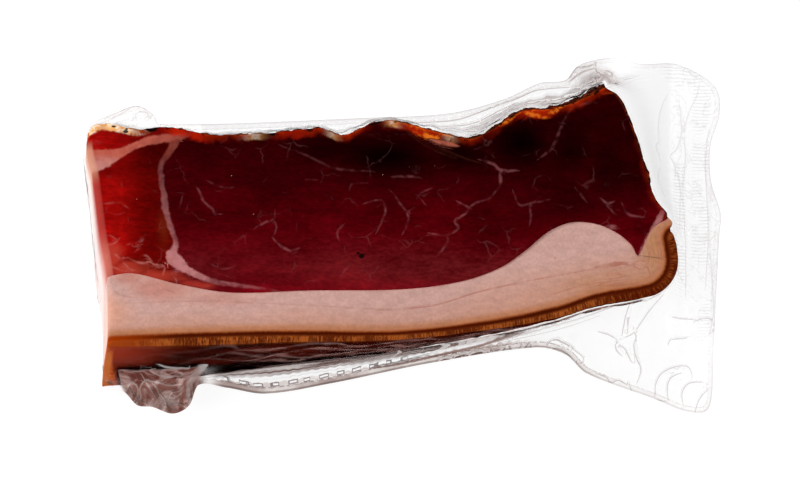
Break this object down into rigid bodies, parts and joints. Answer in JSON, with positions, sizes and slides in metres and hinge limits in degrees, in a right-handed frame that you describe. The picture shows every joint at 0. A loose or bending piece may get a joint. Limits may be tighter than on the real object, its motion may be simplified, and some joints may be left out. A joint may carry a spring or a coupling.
{
  "type": "vacuum-packed speck ham slab",
  "caption": "Thick cross-cut slab of smoked cured ham, dark lean over a fat layer with brown rind, sealed in clear shrink-tight film with a wide flat seal flap.",
  "frame": {"origin": "the point of the back cut face on which the slab rests, on the lean, below the middle of the front face", "axes": "+X along the slab towards the wide seal flap, +Y from the rind up to the smoked crust, +Z from the back cut face to the shown front cut face, upwards at rest"},
  "size_m": [0.2199, 0.1234, 0.046],
  "materials": {
    "lean": "moist dark maroon cured meat with fine fat veins",
    "fat": "smooth pinkish fat, golden-brown smoked rind along its outer edge",
    "film": "clear glossy vacuum film, creased and gathered at its free edges"
  },
  "bodies": {
    "root": {"lean_meat": "lean", "fat_and_rind": "fat", "vacuum_bag": "film"}
  },
  "joints": []
}
